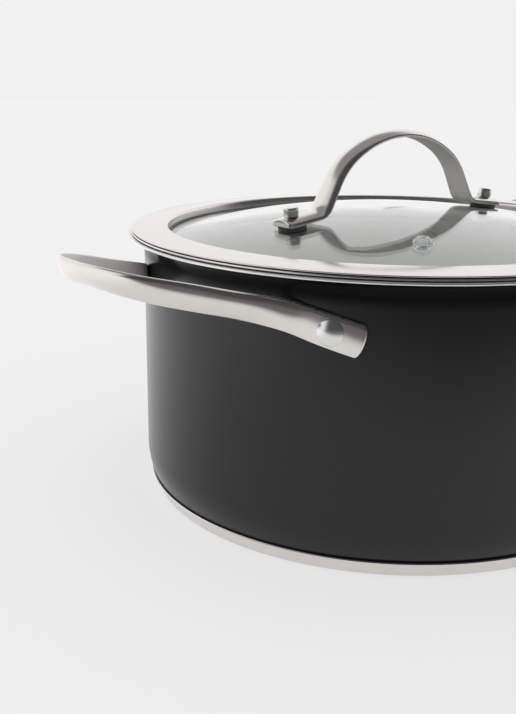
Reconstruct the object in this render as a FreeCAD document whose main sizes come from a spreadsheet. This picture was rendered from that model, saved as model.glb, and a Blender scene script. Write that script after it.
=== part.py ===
"""Two-handled stainless saucepan with a rimmed glass lid.

The pot is a deep-drawn steel shell with a compact base (aluminium core inside a
steel cap) and two strip handles, each held by two rivets.  The lid is a domed
glass disc clamped between a wide rim band and a locating ring, with an arched
strip handle held by two screws and a clear steam vent.

Frame: origin at the centre of the underside, +Z up, handles on the X axis.
All lengths are millimetres, all angles degrees.
"""
import FreeCAD, Part
import math
import os
import re

import Sketcher
from FreeCAD import Placement, Rotation, Vector

SIZES = {
    # pot shell
    "wall_radius": 120.0, "wall_gauge": 1.0, "floor_height": 5.1,
    "knee_height": 14.3, "knee_round": 34.0, "body_taper": 21.2, "heel_round": 4.0,
    "lip_radius": 127.5, "lip_height": 124.0, "lip_round": 0.45, "flare_round": 6.0,
    # compact base
    "foot_radius": 114.9, "foot_round": 1.4, "cap_gauge": 0.8, "cap_radius": 118.5,
    "cap_height": 7.3, "cap_bevel": 0.35, "core_radius": 112.0,
    # side handles
    "tab_gap": 0.2, "tab_width": 13.2, "tab_edge": 2.4, "tab_crown": 0.5,
    "bow_width": 10.7, "bow_edge": 1.65, "bow_crown": 1.4, "bow_reach": 171.8,
    "tab_angle": 37.2, "leave_angle": 25.6, "leave_pull": 25.6, "bow_pull": 55.3,
    "arm_rise": 0.27, "level_share": 0.59, "bow_lean": 30.2, "lean_growth": 1.3,
    "shaping_share": 0.45,
    # handle rivets
    "rivet_angle": 31.0, "rivet_height": 102.5, "rivet_shank": 2.5, "rivet_head": 5.3,
    "rivet_dome": 2.2, "rivet_dome_edge": 0.5, "rivet_foot": 4.8, "rivet_foot_depth": 1.3,
    "rivet_fit": 0.05, "bore_overrun": 20.0,
    # lid glass
    "dome_round": 480.0, "dome_height": 134.8, "glass_gauge": 4.0, "glass_radius": 114.0,
    "dome_crop": 30.0,
    "stud_reach": 64.0, "stud_hole": 2.6, "vent_reach": 71.5, "vent_angle": -129.0,
    "vent_hole": 3.0,
    # rim band, locating ring and gasket
    "band_radius": 125.6, "band_height": 126.3, "band_gauge": 0.6, "band_edge_round": 0.26,
    "bezel_radius": 108.5, "bezel_height": 127.3, "bezel_round": 1.5, "bezel_foot": 122.9,
    "ring_radius": 125.9, "ring_base": 124.4, "ring_flange": 0.9, "ring_hem": 0.42,
    "skirt_radius": 118.0, "skirt_gauge": 0.8, "skirt_foot": 114.8, "ledge_radius": 109.8,
    "land_radius": 121.0, "land_height": 125.95, "land_slope": 0.5,
    "gasket_radius": 117.1, "gasket_lip": 107.9, "gasket_inset": 0.1,
    "gasket_lip_depth": 2.0, "gasket_taper_depth": 3.4,
    # lid handle, and how far the lid is turned on the pot
    "lid_turn": -3.0,
    "strip_width": 13.0, "strip_edge": 2.3, "strip_crown": 1.5,
    "arch_height": 169.1, "arch_reach": 15.5, "arch_round": 54.0,
    "shoulder_reach": 37.0, "shoulder_height": 156.4, "shoulder_round": 32.0,
    "ankle_reach": 48.35, "ankle_round": 7.3, "foot_reach": 70.7,
    # lid handle fasteners, stacked along the glass's own normal
    "pad_radius": 6.4, "pad_height": 1.3, "under_pad_height": 1.4,
    "washer_radius": 5.5, "washer_height": 0.8, "screw_shank": 1.5, "screw_fit": 0.3,
    "thread_fit": 0.05, "screw_head": 4.0, "screw_head_height": 2.2, "screw_head_round": 1.0,
    "screw_length": 14.1, "nut_radius": 3.35, "nut_height": 4.1, "nut_round": 0.4,
    "nut_cap": 1.0, "stack_sag": 0.05,
    # steam vent grommet
    "vent_head": 4.2, "vent_dome": 2.6, "vent_edge": 0.8, "vent_bore": 1.6,
    "vent_neck_fit": 0.05, "vent_flange": 3.9, "vent_flange_height": 1.4,
    "vent_flange_round": 0.5, "vent_edge_round": 0.3, "vent_crown_round": 1.2,
    "vent_mouth": 0.9,
}

doc = FreeCAD.newDocument("Saucepan")
sheet = doc.addObject("Spreadsheet::Sheet", "Sizes")
for row, (alias, value) in enumerate(SIZES.items(), start=1):
    sheet.set(f"A{row}", alias)
    sheet.set(f"B{row}", str(value))
    sheet.setAlias(f"B{row}", alias)
doc.recompute()

subparts = []


def bind(text):
    """Return an expression in which every alias is read from the sheet."""
    return re.sub(r"[a-z_]+", lambda word: f"Sizes.{word[0]}" if word[0] in SIZES else word[0], text)


def measure(text):
    """Return the number that an expression in the sheet's aliases stands for."""
    value = sheet.evalExpression(bind(text))
    return float(getattr(value, "Value", value))


def size(obj, **properties):
    """Bind properties of a primitive to expressions in the sheet's aliases."""
    for name, text in properties.items():
        setattr(obj, name, measure(text))
        obj.setExpression(name, bind(text))
    return obj


def name_subpart(obj, label):
    """Give a finished sub-part the name of its file."""
    obj.Label = label
    subparts.append(obj)
    return obj


class Profile:
    """A sketch of straight edges and arcs through corners given as expressions.

    Each corner is (x, y), (x, y, {"round": radius}) or (x, y, {"bow": radius}).
    A round replaces the corner by a tangent arc; a bow makes the edge to the next
    corner an arc of that radius, bulging to the right of the way it runs.
    """

    def __init__(self, sketch, corners, closed=True):
        self.sketch = sketch
        self.corners = [(c[0], c[1], c[2] if len(c) > 2 else {}) for c in corners]
        self.points = [Vector(measure(x), measure(y), 0) for x, y, _ in self.corners]
        self.closed = closed
        self.edges = {}
        self.arcs = {}
        self.add_geometry()
        self.tie_corners()

    def rounded(self, index):
        """Return the round's radius, tangent points and turn at a corner, or None."""
        text = self.corners[index][2].get("round")
        if text is None:
            return None
        here = self.points[index]
        back = (self.points[index - 1] - here).normalize()
        ahead = (self.points[(index + 1) % len(self.points)] - here).normalize()
        half = back.getAngle(ahead) / 2
        radius = measure(text)
        reach = radius / math.tan(half)
        middle = here + (back + ahead).normalize() * (radius / math.sin(half) - radius)
        left_turn = (-back).cross(ahead).z > 0
        return here + back * reach, middle, here + ahead * reach, left_turn

    def add_geometry(self):
        """Add the edges, the rounds, and a construction point at each rounded corner."""
        count = len(self.points)
        rounds = [self.rounded(i) for i in range(count)]
        for i in range(count if self.closed else count - 1):
            start = rounds[i][2] if rounds[i] else self.points[i]
            after = (i + 1) % count
            end = rounds[after][0] if rounds[after] else self.points[after]
            bow = self.corners[i][2].get("bow")
            if bow is None:
                self.edges[i] = (self.sketch.addGeometry(Part.LineSegment(start, end), False), 1, 2)
                continue
            chord = end - start
            radius = measure(bow)
            sagitta = radius - math.sqrt(radius ** 2 - chord.Length ** 2 / 4)
            side = Vector(chord.y, -chord.x, 0).normalize()
            arc = Part.Arc(start, (start + end) / 2 + side * sagitta, end)
            number = self.sketch.addGeometry(arc, False)
            self.edges[i] = (number, 1, 2)
            self.constrain("Radius", number, bow)
        for i, turn in enumerate(rounds):
            if turn:
                first, middle, last, left_turn = turn
                number = self.sketch.addGeometry(Part.Arc(first, middle, last), False)
                ends = (1, 2) if left_turn else (2, 1)
                point = self.sketch.addGeometry(Part.Point(self.points[i]), True)
                self.arcs[i] = (number, ends, point)

    def constrain(self, kind, *where_and_text):
        """Add a dimension and bind it to an expression in the sheet's aliases."""
        *where, text = where_and_text
        index = self.sketch.addConstraint(Sketcher.Constraint(kind, *where, measure(text)))
        name = f"size{index}"
        self.sketch.renameConstraint(index, name)
        self.sketch.setExpression(f"Constraints.{name}", bind(text))

    def place(self, geometry, end, index):
        """Fix a point of the sketch at a corner's own coordinates."""
        x, y, _ = self.corners[index]
        add = self.sketch.addConstraint
        if abs(self.points[index].x) < 1e-9:
            add(Sketcher.Constraint("PointOnObject", geometry, end, -2))
        else:
            self.constrain("DistanceX", -1, 1, geometry, end, x)
        if abs(self.points[index].y) < 1e-9:
            add(Sketcher.Constraint("PointOnObject", geometry, end, -1))
        else:
            self.constrain("DistanceY", -1, 1, geometry, end, y)

    def tie_corners(self):
        """Join the edges at each corner and give the corner its place."""
        add = self.sketch.addConstraint
        count = len(self.points)
        for i in range(count):
            if not self.closed and i == 0:
                self.place(self.edges[0][0], 1, 0)
                continue
            before = self.edges[(i - 1) % count]
            if not self.closed and i == count - 1:
                self.place(before[0], 2, i)
                continue
            after = self.edges[i]
            if i in self.arcs:
                number, ends, point = self.arcs[i]
                add(Sketcher.Constraint("Tangent", before[0], before[2], number, ends[0]))
                add(Sketcher.Constraint("Tangent", number, ends[1], after[0], after[1]))
                add(Sketcher.Constraint("PointOnObject", point, 1, before[0]))
                add(Sketcher.Constraint("PointOnObject", point, 1, after[0]))
                self.constrain("Radius", number, self.corners[i][2]["round"])
                self.place(point, 1, i)
            else:
                add(Sketcher.Constraint("Coincident", before[0], before[2], after[0], after[1]))
                self.place(after[0], after[1], i)


def origin_plane(body, role):
    """Return the plane of a body's own origin that has the given role."""
    return next(item for item in body.Origin.OriginFeatures if item.Role == role)


def new_sketch(body, name, role):
    """Add a sketch to a body on one of its origin planes."""
    sketch = body.newObject("Sketcher::SketchObject", name)
    sketch.AttachmentSupport = [(origin_plane(body, role), "")]
    sketch.MapMode = "FlatFace"
    return sketch


def turned_body(name, corners):
    """Make a body turned about Z from a half-section in its XZ plane."""
    body = doc.addObject("PartDesign::Body", name)
    sketch = new_sketch(body, f"{name}_section", "XZ_Plane")
    Profile(sketch, corners)
    turn = body.newObject("PartDesign::Revolution", f"{name}_turn")
    turn.Profile = sketch
    turn.ReferenceAxis = (sketch, ["V_Axis"])
    turn.Angle = 360.0
    doc.recompute()
    return body


def cylinder(name, radius, low, height):
    """Make a cylinder on Z from an expression for its low end."""
    item = size(doc.addObject("Part::Cylinder", name), Radius=radius, Height=height)
    item.setExpression("Placement.Base.z", bind(low))
    return item


def cut(name, base, *tools):
    """Cut one or more tools from a base."""
    result = doc.addObject("Part::Cut", name)
    result.Base = base
    if len(tools) == 1:
        result.Tool = tools[0]
    else:
        result.Tool = doc.addObject("Part::MultiFuse", f"{name}_tools")
        result.Tool.Shapes = list(tools)
    return result


def radial(azimuth, height):
    """Return a placement that lays local Z along a horizontal radius of the pot."""
    angle = math.radians(azimuth)
    outward = Vector(math.cos(angle), math.sin(angle), 0)
    return Placement(Vector(0, 0, height), Rotation(Vector(0, 0, 1), outward))


def on_glass(reach, azimuth):
    """Return a placement at the dome's centre whose Z meets the glass at a reach.

    Local Z is the glass's own normal there, so the glass's upper face is at
    dome_round along it and its lower face at dome_round - glass_gauge.
    """
    tilt = math.degrees(math.asin(reach / measure("dome_round")))
    turn = Rotation(Vector(0, 0, 1), azimuth) * Rotation(Vector(0, 1, 0), tilt)
    return Placement(Vector(0, 0, measure("dome_height - dome_round")), turn)


RIVET_SIDES = {
    "left_front": 180 + measure("rivet_angle"), "left_rear": 180 - measure("rivet_angle"),
    "right_front": -measure("rivet_angle"), "right_rear": measure("rivet_angle"),
}
STUD_SIDES = {"left": 180 + measure("lid_turn"), "right": measure("lid_turn")}


def rivet_holes(name):
    """Make the four rivet bores that pass through the tabs and the wall."""
    holes = []
    for side, azimuth in RIVET_SIDES.items():
        hole = doc.addObject("Part::Cylinder", f"{name}_{side}")
        size(hole, Radius="rivet_shank + rivet_fit", Height="wall_radius + bore_overrun")
        hole.Placement = radial(azimuth, measure("rivet_height"))
        holes.append(hole)
    return holes


def make_pot_shell():
    """Drawn steel shell: flat floor, rounded heel, straight wall, flared pouring lip."""
    heel = "(wall_radius - (knee_height - floor_height) * tan(body_taper))"
    lead = "wall_gauge * tan((90 - body_taper) / 2)"
    body = turned_body("shell_body", [
        ("0", "floor_height"),
        (heel, "floor_height", {"round": "heel_round"}),
        ("wall_radius", "knee_height", {"round": "knee_round"}),
        ("wall_radius", "lip_height - wall_gauge", {"round": "flare_round"}),
        ("lip_radius", "lip_height - wall_gauge", {"round": "lip_round"}),
        ("lip_radius", "lip_height", {"round": "lip_round"}),
        ("wall_radius - wall_gauge", "lip_height", {"round": "flare_round + wall_gauge"}),
        ("wall_radius - wall_gauge", "knee_height + wall_gauge * tan(body_taper / 2)",
         {"round": "knee_round - wall_gauge"}),
        (f"{heel} - {lead}", "floor_height + wall_gauge", {"round": "heel_round - wall_gauge"}),
        ("0", "floor_height + wall_gauge"),
    ])
    name_subpart(cut("shell_drilled", body, *rivet_holes("shell_hole")), "pot_shell")


def make_base():
    """Compact base: an aluminium core under the floor, wrapped by a steel cap."""
    core = cylinder("core_disc", "core_radius", "cap_gauge", "floor_height - cap_gauge")
    name_subpart(core, "base_core")
    inner = "cap_gauge / cos(atan((cap_radius - foot_radius) / cap_height))"
    cap = turned_body("cap_body", [
        ("0", "0"),
        ("foot_radius", "0", {"round": "foot_round"}),
        ("cap_radius", "cap_height - cap_bevel"),
        ("cap_radius - cap_bevel", "cap_height"),
        (f"cap_radius - {inner}", "cap_height"),
        (f"foot_radius - {inner} + cap_gauge / 2", "cap_gauge",
         {"round": "foot_round - cap_gauge"}),
        ("0", "cap_gauge"),
    ])
    name_subpart(cap, "base_cap")


def blend(value):
    """Return a smooth step from 0 to 1."""
    value = min(max(value, 0.0), 1.0)
    return value * value * (3 - 2 * value)


class HandleLine:
    """The centre line of the left handle's inner face, from a tab to mid-bow.

    It wraps the wall from the tab's end to where the arm leaves it, and then
    follows one cubic curve out to the middle of the bow.
    """

    STATIONS = 30
    FINE_STEPS = 400

    def __init__(self):
        wrap = measure("wall_radius + tab_gap")
        start, leave = (math.radians(measure(a)) for a in ("tab_angle", "leave_angle"))
        reach = measure("bow_reach")
        gate = Vector(-wrap * math.cos(leave), -wrap * math.sin(leave), 0)
        along = Vector(-math.sin(leave), math.cos(leave), 0)
        self.wrap, self.start, self.wrapped = wrap, start, wrap * (start - leave)
        self.pulls = (gate, gate + along * measure("leave_pull"),
                      Vector(-reach, -measure("bow_pull"), 0), Vector(-reach, 0, 0))
        fine = [self.on_arm(step / self.FINE_STEPS) for step in range(self.FINE_STEPS + 1)]
        self.arm_travel = [self.wrapped]
        for first, second in zip(fine, fine[1:]):
            self.arm_travel.append(self.arm_travel[-1] + (second - first).Length)
        self.whole = self.arm_travel[-1]
        self.rivet_travel = wrap * (start - math.radians(measure("rivet_angle")))

    def on_arm(self, share):
        """Return a point of the arm's cubic curve."""
        rest = 1 - share
        weights = (rest ** 3, 3 * rest ** 2 * share, 3 * rest * share ** 2, share ** 3)
        return sum((pull * weight for pull, weight in zip(self.pulls, weights)), Vector())

    def plan(self, travel):
        """Return the plan position after a length of travel from the tab's end."""
        if travel <= self.wrapped:
            angle = self.start - travel / self.wrap
            return Vector(-self.wrap * math.cos(angle), -self.wrap * math.sin(angle), 0)
        step = next((n for n, t in enumerate(self.arm_travel) if t >= travel), self.FINE_STEPS)
        before, after = self.arm_travel[step - 1], self.arm_travel[step]
        return self.on_arm((step - 1 + (travel - before) / (after - before)) / self.FINE_STEPS)

    def height(self, travel):
        """Return the height after a length of travel: a steady rise that levels at the bow."""
        rise = measure("arm_rise")
        level = self.whole * measure("level_share")

        def climbed(length):
            over = max(length - level, 0.0)
            return rise * (length - over * over / (2 * (self.whole - level)))

        return measure("rivet_height") + climbed(travel) - climbed(self.rivet_travel)

    def station(self, index):
        """Return a station's placement and how far it is from tab (0) to bow (1)."""
        travel = self.whole * index / self.STATIONS
        reach = 0.01
        here, back = self.plan(travel), self.plan(travel - reach)
        along = (here - back).normalize()
        if index == self.STATIONS:
            along = Vector(0, 1, 0)
        slope = (self.height(travel) - self.height(travel - reach)) / reach
        share = max(travel - self.rivet_travel, 0.0) / (self.whole - self.rivet_travel)
        outward = Vector(-along.y, along.x, 0)
        forward = Vector(along.x, along.y, slope).normalize()
        upward = forward.cross(outward)
        lean = Rotation(forward, measure("bow_lean") * share ** measure("lean_growth"))
        if lean.multVec(upward).dot(outward) < 0:
            lean = lean.inverted()
        upward, outward = lean.multVec(upward), lean.multVec(outward)
        place = Vector(here.x, here.y, self.height(travel))
        return Placement(place, Rotation(outward, upward, outward.cross(upward), "XYZ")), share


def strip_section(name, placement, width, edge, crown):
    """Make a strip's cross-section: flat inner face at local x = 0, crowned outer face."""
    sketch = doc.addObject("Sketcher::SketchObject", name)
    bow = f"(({width}) ^ 2 / 4 + ({crown}) ^ 2) / (2 * ({crown}))"
    Profile(sketch, [
        ("0", f"-({width}) / 2"), (edge, f"-({width}) / 2", {"bow": bow}),
        (edge, f"({width}) / 2"), ("0", f"({width}) / 2"),
    ])
    sketch.Placement = placement
    return sketch


def make_side_handles():
    """Two bowed strip handles, lofted through sections along half a line and its mirror."""
    line = HandleLine()
    last = line.STATIONS
    mirror = FreeCAD.Matrix()
    mirror.A22 = -1
    sections = []
    for index in list(range(last + 1)) + list(range(last - 1, -1, -1)):
        placement, share = line.station(index)
        if len(sections) > last:
            base = mirror.multVec(placement.Base)
            out = mirror.multVec(placement.Rotation.multVec(Vector(1, 0, 0)))
            up = mirror.multVec(placement.Rotation.multVec(Vector(0, 1, 0)))
            placement = Placement(base, Rotation(out, up, out.cross(up), "XYZ"))
        part = round(blend(share / measure("shaping_share")), 4)
        sections.append(strip_section(
            f"handle_section_{len(sections)}", placement,
            f"tab_width + (bow_width - tab_width) * {part}",
            f"tab_edge + (bow_edge - tab_edge) * {part}",
            f"tab_crown + (bow_crown - tab_crown) * {part}"))
    strip = doc.addObject("Part::Loft", "handle_strip")
    strip.Sections = sections
    strip.Solid = True
    strip.Ruled = False
    left = cut("handle_drilled", strip, *rivet_holes("handle_hole"))
    name_subpart(left, "side_handle_left")
    right = doc.addObject("Part::Mirroring", "handle_mirrored")
    right.Source = left
    right.Normal = Vector(1, 0, 0)
    name_subpart(right, "side_handle_right")


def make_rivets():
    """Four rivets: a flat head inside the pot and a domed head on the tab."""
    tab_top = "wall_radius + tab_gap + tab_edge + tab_crown"
    inner_top = "sqrt((wall_radius - wall_gauge) ^ 2 - rivet_foot ^ 2)"
    dome = "(rivet_head ^ 2 + (rivet_dome - rivet_dome_edge) ^ 2) / (2 * (rivet_dome - rivet_dome_edge))"
    for side, azimuth in RIVET_SIDES.items():
        body = turned_body(f"rivet_body_{side}", [
            ("0", f"{inner_top} - rivet_foot_depth"),
            ("rivet_foot", f"{inner_top} - rivet_foot_depth", {"round": "rivet_foot_depth / 2"}),
            ("rivet_foot", inner_top),
            ("rivet_shank", inner_top),
            ("rivet_shank", tab_top),
            ("rivet_head", tab_top),
            ("rivet_head", f"{tab_top} + rivet_dome_edge", {"bow": dome}),
            ("0", f"{tab_top} + rivet_dome"),
        ])
        body.Placement = radial(azimuth, measure("rivet_height"))
        name_subpart(body, f"rivet_{side}")


def stud_holes(name, radius):
    """Make the two bores for the lid handle's screws, square to the glass."""
    holes = []
    for side, azimuth in STUD_SIDES.items():
        hole = size(doc.addObject("Part::Cylinder", f"{name}_{side}"), Radius=radius,
                    Height="dome_round + bore_overrun")
        hole.Placement = on_glass(measure("stud_reach"), azimuth)
        holes.append(hole)
    return holes


def glass_dome(name):
    """Make the glass disc without its holes: a bowl between two balls, cropped round."""
    balls = []
    for part, radius in (("outer", "dome_round"), ("inner", "dome_round - glass_gauge")):
        ball = size(doc.addObject("Part::Sphere", f"{name}_{part}"), Radius=radius)
        ball.setExpression("Placement.Base.z", bind("dome_height - dome_round"))
        balls.append(ball)
    dome = doc.addObject("Part::Common", f"{name}_dome")
    dome.Base = cut(f"{name}_bowl", *balls)
    dome.Tool = cylinder(f"{name}_crop", "glass_radius", "dome_height - dome_crop",
                         "2 * dome_crop")
    return dome


def make_lid_glass():
    """Domed glass disc with two screw holes and a vent hole."""
    dome = glass_dome("glass")
    vent = size(doc.addObject("Part::Cylinder", "glass_vent"), Radius="vent_hole",
                Height="dome_round + bore_overrun")
    vent.Placement = on_glass(measure("vent_reach"), measure("vent_angle"))
    name_subpart(cut("glass_drilled", dome, vent, *stud_holes("glass_hole", "stud_hole")),
                 "lid_glass")


def make_rim():
    """Rim band with a turned-down bezel, locating ring, and the gasket between them."""
    under = "band_height - band_gauge"
    band = turned_body("band_body", [
        ("bezel_radius", "bezel_foot"),
        ("bezel_radius + band_gauge", "bezel_foot"),
        ("bezel_radius + band_gauge", "bezel_height - band_gauge",
         {"round": "bezel_round - band_gauge"}),
        ("band_radius", under, {"round": "band_edge_round"}),
        ("band_radius", "band_height", {"round": "band_edge_round"}),
        ("bezel_radius", "bezel_height", {"round": "bezel_round"}),
    ])
    name_subpart(band, "lid_rim")
    ring = turned_body("ring_body", [
        ("ledge_radius", "skirt_foot"),
        ("skirt_radius", "skirt_foot", {"round": "skirt_gauge * 1.5"}),
        ("skirt_radius", "ring_base", {"round": "skirt_gauge"}),
        ("ring_radius", "ring_base", {"round": "ring_hem"}),
        ("ring_radius", "ring_base + ring_flange", {"round": "ring_hem"}),
        ("land_radius + land_slope", "ring_base + ring_flange"),
        ("land_radius", "land_height"),
        ("skirt_radius - skirt_gauge", "land_height", {"round": "skirt_gauge"}),
        ("skirt_radius - skirt_gauge", "skirt_foot + skirt_gauge", {"round": "skirt_gauge / 2"}),
        ("ledge_radius", "skirt_foot + skirt_gauge"),
    ])
    name_subpart(ring, "lid_ring")
    base = "skirt_foot + skirt_gauge + gasket_inset"
    block = turned_body("gasket_body", [
        ("ledge_radius + gasket_inset", base),
        ("gasket_radius", base, {"round": "skirt_gauge / 2"}),
        ("gasket_radius", "bezel_foot"),
        ("gasket_lip", "bezel_foot"),
        ("gasket_lip", "bezel_foot - gasket_lip_depth"),
        ("ledge_radius + gasket_inset", "bezel_foot - gasket_taper_depth"),
    ])
    name_subpart(cut("gasket_cut", block, glass_dome("gasket")), "rim_gasket")


def make_lid_handle():
    """Arched strip: half swept from the crown of the arch to a foot, then mirrored."""
    tilt = "asin(stud_reach / dome_round)"
    level = "(dome_round + pad_height + strip_edge / 2)"
    foot = f"dome_height - dome_round + ({level} - {{reach}} * sin({tilt})) / cos({tilt})"
    body = doc.addObject("PartDesign::Body", "strip_body")
    path = new_sketch(body, "strip_path", "XZ_Plane")
    Profile(path, [
        ("0", "arch_height"),
        ("arch_reach", "arch_height", {"round": "arch_round"}),
        ("shoulder_reach", "shoulder_height", {"round": "shoulder_round"}),
        ("ankle_reach", foot.format(reach="ankle_reach"), {"round": "ankle_round"}),
        ("foot_reach", foot.format(reach="foot_reach")),
    ], closed=False)
    section = new_sketch(body, "strip_section", "YZ_Plane")
    bow = "(strip_width ^ 2 / 4 + strip_crown ^ 2) / (2 * strip_crown)"
    low, high = "arch_height - strip_edge / 2", "arch_height + strip_edge / 2"
    Profile(section, [
        ("-strip_width / 2", low), ("strip_width / 2", low),
        ("strip_width / 2", high, {"bow": bow}), ("-strip_width / 2", high),
    ])
    doc.recompute()
    half = body.newObject("PartDesign::AdditivePipe", "strip_half")
    half.Profile = section
    half.Spine = (path, [f"Edge{n + 1}" for n in range(path.Shape.countElement("Edge"))])
    doc.recompute()
    both = body.newObject("PartDesign::Mirrored", "strip_both")
    both.Originals = [half]
    both.MirrorPlane = (origin_plane(body, "YZ_Plane"), [""])
    body.Tip = both
    body.Placement = Placement(Vector(), Rotation(Vector(0, 0, 1), measure("lid_turn")))
    doc.recompute()
    drilled = cut("strip_drilled", body, *stud_holes("strip_hole", "screw_shank + screw_fit"))
    name_subpart(drilled, "lid_handle")


def ring_on_stud(name, side, outer, inner, low, height):
    """Make a washer on a screw's axis, at a distance from the dome's centre."""
    section = turned_body(f"{name}_body_{side}", [
        (inner, low), (outer, low), (outer, f"{low} + {height}"), (inner, f"{low} + {height}"),
    ])
    section.Placement = on_glass(measure("stud_reach"), STUD_SIDES[side])
    name_subpart(section, f"{name}_{side}")


def make_fasteners():
    """On each foot: cap nut, pad, glass, lower pad, steel washer and screw."""
    strip_top = "dome_round + pad_height + strip_edge + strip_crown"
    under = "dome_round - glass_gauge"
    bore = "screw_shank + screw_fit"
    washer_low = f"{under} - under_pad_height - washer_height - stack_sag"
    for side, azimuth in STUD_SIDES.items():
        ring_on_stud("upper_pad", side, "pad_radius", bore, "dome_round", "pad_height")
        ring_on_stud("lower_pad", side, "pad_radius", bore,
                     f"{under} - under_pad_height - stack_sag", "under_pad_height")
        ring_on_stud("lid_washer", side, "washer_radius", bore, washer_low, "washer_height")
        screw = turned_body(f"screw_body_{side}", [
            ("0", f"{washer_low} - screw_head_height"),
            ("screw_head", f"{washer_low} - screw_head_height", {"round": "screw_head_round"}),
            ("screw_head", washer_low),
            ("screw_shank", washer_low),
            ("screw_shank", f"{washer_low} + screw_length"),
            ("0", f"{washer_low} + screw_length"),
        ])
        screw.Placement = on_glass(measure("stud_reach"), azimuth)
        name_subpart(screw, f"handle_screw_{side}")
        thread = "screw_shank + thread_fit"
        nut = turned_body(f"nut_body_{side}", [
            (thread, strip_top),
            ("nut_radius", strip_top),
            ("nut_radius", f"{strip_top} + nut_height", {"round": "nut_round"}),
            ("0", f"{strip_top} + nut_height"),
            ("0", f"{strip_top} + nut_height - nut_cap"),
            (thread, f"{strip_top} + nut_height - nut_cap"),
        ])
        nut.Placement = on_glass(measure("stud_reach"), azimuth)
        name_subpart(nut, f"cap_nut_{side}")


def make_vent():
    """Clear grommet: domed head, neck through the glass, flange below, steam bore."""
    under = "dome_round - glass_gauge"
    sag = "vent_flange ^ 2 / (2 * (dome_round - glass_gauge))"
    body = turned_body("vent_body", [
        ("vent_bore", f"{under} - vent_flange_height - {sag}"),
        ("vent_flange", f"{under} - vent_flange_height - {sag}", {"round": "vent_flange_round"}),
        ("vent_flange", f"{under} - {sag}"),
        ("vent_hole - vent_neck_fit", f"{under} - {sag}"),
        ("vent_hole - vent_neck_fit", "dome_round"),
        ("vent_head", "dome_round"),
        ("vent_head", "dome_round + vent_edge", {"round": "vent_edge_round"}),
        ("vent_bore + vent_mouth", "dome_round + vent_dome", {"round": "vent_crown_round"}),
        ("vent_bore", "dome_round + vent_dome"),
    ])
    body.Placement = on_glass(measure("vent_reach"), measure("vent_angle"))
    name_subpart(body, "steam_vent")


def write_parts():
    """Check every object and every sub-part, then write each sub-part's file."""
    doc.recompute()
    failed = [o.Name for o in doc.Objects if {"Invalid", "Error"} & set(o.State)]
    if failed:
        raise RuntimeError(f"failed objects: {failed}")
    os.makedirs("parts", exist_ok=True)
    for part in subparts:
        shape = part.Shape
        if shape.isNull() or not shape.isValid() or shape.Volume <= 0:
            raise RuntimeError(f"bad shape: {part.Label}")
        box = shape.BoundBox
        print(f"{part.Label:22s} {len(shape.Solids)} solid {shape.Volume:12.2f} mm3  "
              f"x {box.XMin:8.2f} {box.XMax:8.2f}  y {box.YMin:8.2f} {box.YMax:8.2f}  "
              f"z {box.ZMin:7.2f} {box.ZMax:7.2f}")
        shape.exportStep(f"parts/{part.Label}.step")


make_pot_shell()
make_base()
make_side_handles()
make_rivets()
make_lid_glass()
make_rim()
make_lid_handle()
make_fasteners()
make_vent()
write_parts()
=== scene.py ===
"""Looks of a two-handled saucepan with a rimmed glass lid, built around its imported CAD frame.

The CAD nodes whose shape is right keep their meshes and get finishes here.  The side
handles, the rivets, the lid's rim band, its handle, the cap nuts and the steam vent are
modelled anew, as strips and turned pieces with softened edges and a grain that follows
the metal.

Everything is in metres, in the frame's own axes: +Z up, side handles on the X axis and
the lid turned a little from it.
"""

import logging
import math
from dataclasses import dataclass, field
from enum import Enum
from itertools import accumulate
from typing import Callable, Iterable

import bmesh
import bpy
from mathutils import Euler, Matrix, Vector


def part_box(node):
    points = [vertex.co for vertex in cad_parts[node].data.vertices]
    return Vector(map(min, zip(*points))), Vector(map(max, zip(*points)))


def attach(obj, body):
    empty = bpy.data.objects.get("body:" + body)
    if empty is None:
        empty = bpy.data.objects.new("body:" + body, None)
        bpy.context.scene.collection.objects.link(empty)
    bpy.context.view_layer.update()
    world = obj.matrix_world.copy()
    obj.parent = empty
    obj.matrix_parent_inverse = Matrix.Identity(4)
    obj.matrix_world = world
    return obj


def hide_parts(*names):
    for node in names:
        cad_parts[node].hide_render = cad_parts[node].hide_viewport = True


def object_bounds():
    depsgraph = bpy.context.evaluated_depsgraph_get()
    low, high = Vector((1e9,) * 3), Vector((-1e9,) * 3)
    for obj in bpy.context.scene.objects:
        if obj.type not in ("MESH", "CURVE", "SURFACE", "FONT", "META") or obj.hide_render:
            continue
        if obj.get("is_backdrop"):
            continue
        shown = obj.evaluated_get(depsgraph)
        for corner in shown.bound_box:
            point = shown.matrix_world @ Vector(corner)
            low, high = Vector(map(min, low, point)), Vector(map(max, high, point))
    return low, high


LOG = logging.getLogger("saucepan")
MM = 0.001
SEAM_SLACK = 0.4 * MM
SAME_PLACE = 1e-7
TRAVEL_SLACK = 1e-9
CURVE_STEPS = 32
DOUBLES = 1e-6
LIP_DEPTH = 1.0 * MM
"""How far the bare lip comes down from the shell's top."""
SHARP = 40
SHARP_SMALL = 35
"""Edges sharper than this, in degrees, are not shaded smooth."""
LID_TURN = -3.0
RIVET_ANGLE = 31.0
RIVET_HEIGHT = 102.5 * MM
ROUND_RUN = 10.0
"""Grain round the axis is as long as along a strip where the radius is a metre over this."""

Socket = bpy.types.NodeSocket
Piece = bpy.types.Object

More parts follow.
